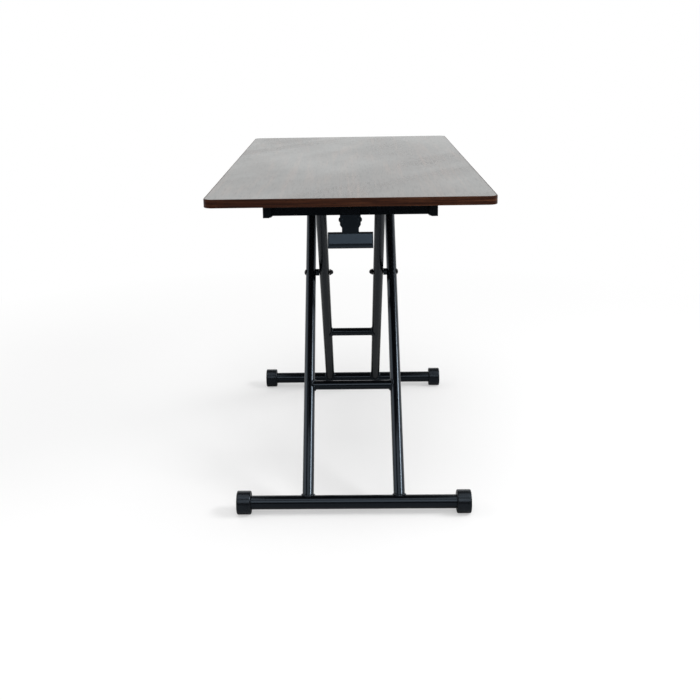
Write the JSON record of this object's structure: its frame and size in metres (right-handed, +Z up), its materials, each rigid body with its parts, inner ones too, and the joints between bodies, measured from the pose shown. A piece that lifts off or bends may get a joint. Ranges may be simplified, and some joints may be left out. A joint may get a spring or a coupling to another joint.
{
  "type": "height-adjustable scissor-leg table",
  "caption": "Narrow wood-laminate table top on crossed black tube legs that fold like scissors, with a T-shaped release lever under one end.",
  "frame": {"origin": "on the floor, under the middle of the table top", "axes": "+X to the right seen from the lever's end, +Y along the table away from the lever, +Z up"},
  "size_m": [0.5, 1, 0.648],
  "materials": {
    "walnut_laminate": "satin",
    "walnut_edging": "satin",
    "black_powder_coat": "semi-gloss",
    "black_plastic": "matte",
    "blackened_steel": "semi-gloss",
    "zinc_steel": "satin"
  },
  "bodies": {
    "table_top": {"top_board": "walnut_laminate", "edge_band": "walnut_edging", "right_rail": "black_powder_coat", "left_rail": "black_powder_coat", "near_cross_bar": "black_powder_coat", "far_cross_bar": "black_powder_coat", "rail_end_caps": "black_plastic", "rail_lugs": "black_powder_coat", "rail_screws": "zinc_steel", "right_pivot_block": "black_plastic", "left_pivot_block": "black_plastic", "block_rivets": "blackened_steel", "slide_stops": "blackened_steel", "lever_bracket": "black_powder_coat", "lever_bracket_screws": "zinc_steel", "lever_pin": "blackened_steel", "lever_spring": "blackened_steel", "rack_hanger": "black_powder_coat", "rack_hanger_screws": "zinc_steel", "rack_hinge_pin": "blackened_steel"},
    "outer_legs": {"outer_right_leg": "black_powder_coat", "outer_left_leg": "black_powder_coat", "outer_foot_tube": "black_powder_coat", "outer_right_foot_cap": "black_plastic", "outer_left_foot_cap": "black_plastic", "outer_brace": "black_powder_coat", "outer_top_bar": "black_powder_coat", "scissor_bolts": "blackened_steel", "scissor_spacers": "black_plastic", "scissor_cap_nuts": "blackened_steel"},
    "inner_legs": {"inner_right_leg": "black_powder_coat", "inner_left_leg": "black_powder_coat", "inner_foot_tube": "black_powder_coat", "inner_right_foot_cap": "black_plastic", "inner_left_foot_cap": "black_plastic", "inner_brace": "black_powder_coat", "inner_slide_bar": "black_powder_coat"},
    "slide_blocks": {"right_slide_block": "black_plastic", "left_slide_block": "black_plastic"},
    "release_lever": {"release_lever": "black_powder_coat", "rack_link_pin": "blackened_steel"},
    "locking_rack": {"locking_rack": "black_powder_coat"}
  },
  "joints": [
    {"name": "fold", "type": "hinge", "parent": "table_top", "child": "outer_legs", "pos_m": [0, 0.21324, 0.62025], "axis": [1, 0, 0], "range_deg": [-41.9, 0]},
    {"name": "scissor", "type": "hinge", "parent": "outer_legs", "child": "inner_legs", "pos_m": [0, 0, 0.4], "axis": [1, 0, 0], "range_deg": [0, 83.8]},
    {"name": "slide_block_turn", "type": "hinge", "parent": "inner_legs", "child": "slide_blocks", "pos_m": [0, -0.21324, 0.62025], "axis": [1, 0, 0], "range_deg": [-41.9, 0]},
    {"name": "lever", "type": "hinge", "parent": "table_top", "child": "release_lever", "pos_m": [0, -0.465, 0.6045], "axis": [1, 0, 0], "range_deg": [-5, 6.7], "stiffness_Nm_per_rad": 1, "deforming": ["lever_spring"]},
    {"name": "rack_lift", "type": "hinge", "parent": "table_top", "child": "locking_rack", "pos_m": [0, 0.3, 0.60185], "axis": [1, 0, 0], "range_deg": [-0.549, 0.413]}
  ],
  "couplings": [
    {"joint": "scissor", "follows": "fold", "ratio": -2},
    {"joint": "slide_block_turn", "follows": "fold", "ratio": 1},
    {"joint": "rack_lift", "follows": "lever", "ratio": -0.080508}
  ]
}
